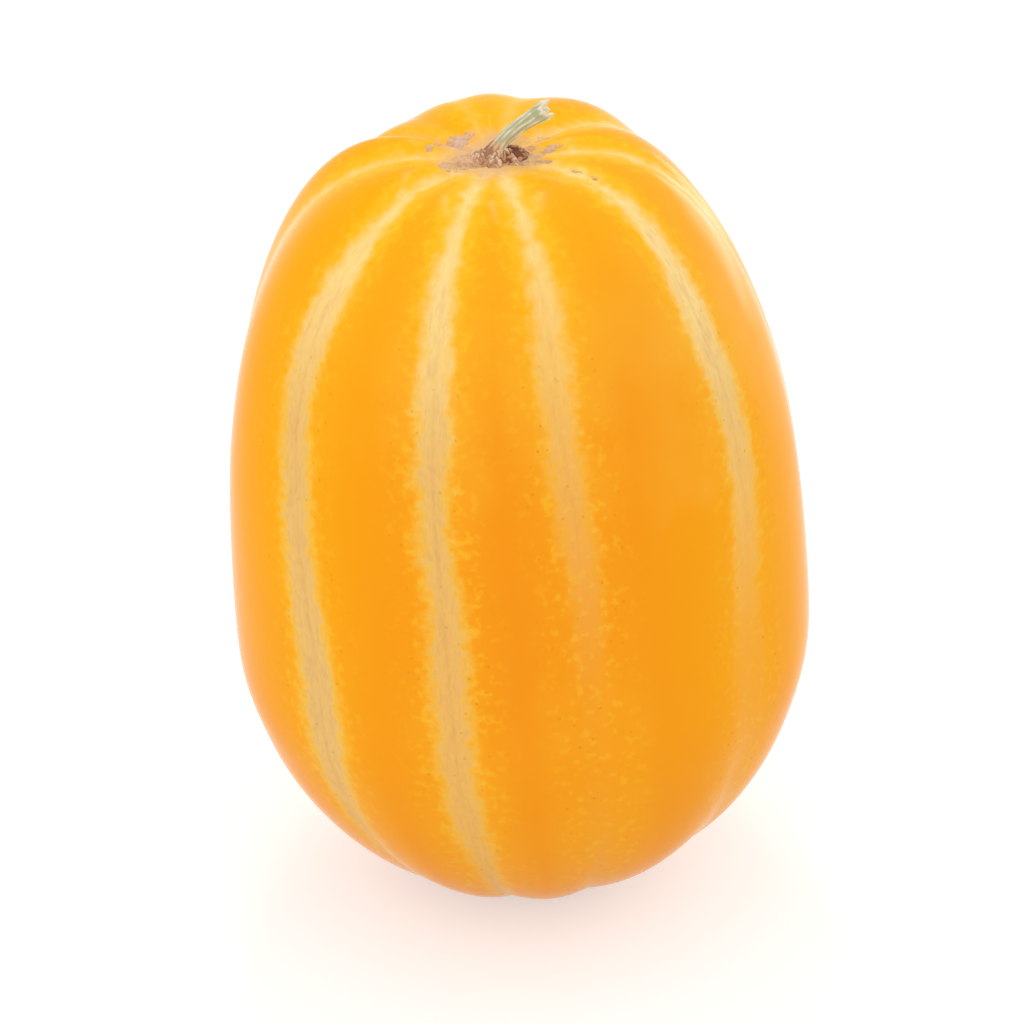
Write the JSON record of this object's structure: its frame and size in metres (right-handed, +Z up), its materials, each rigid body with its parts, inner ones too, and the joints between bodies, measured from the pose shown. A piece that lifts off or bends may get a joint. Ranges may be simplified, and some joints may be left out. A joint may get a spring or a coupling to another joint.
{
  "type": "oriental melon",
  "caption": "Whole ribbed oriental melon with orange-yellow rind, pale stripes in its grooves and a dried stalk stub, standing on a small flat spot.",
  "frame": {"origin": "middle of the small flat spot at the blossom end, on which the fruit stands", "axes": "+Z up from the blossom end to the crown, -Y towards the front, +X to the right; the fruit leans about 3 degrees towards -X"},
  "size_m": [0.0973, 0.098, 0.1451],
  "materials": {
    "rind": "smooth waxy melon rind, satin gloss, orange yellow with pale cream yellow stripes",
    "dried_stalk": "dried pale green grey stalk and brown corky tissue, matt and rough"
  },
  "bodies": {
    "root": {"fruit": "rind", "stalk": "dried_stalk"}
  },
  "joints": []
}
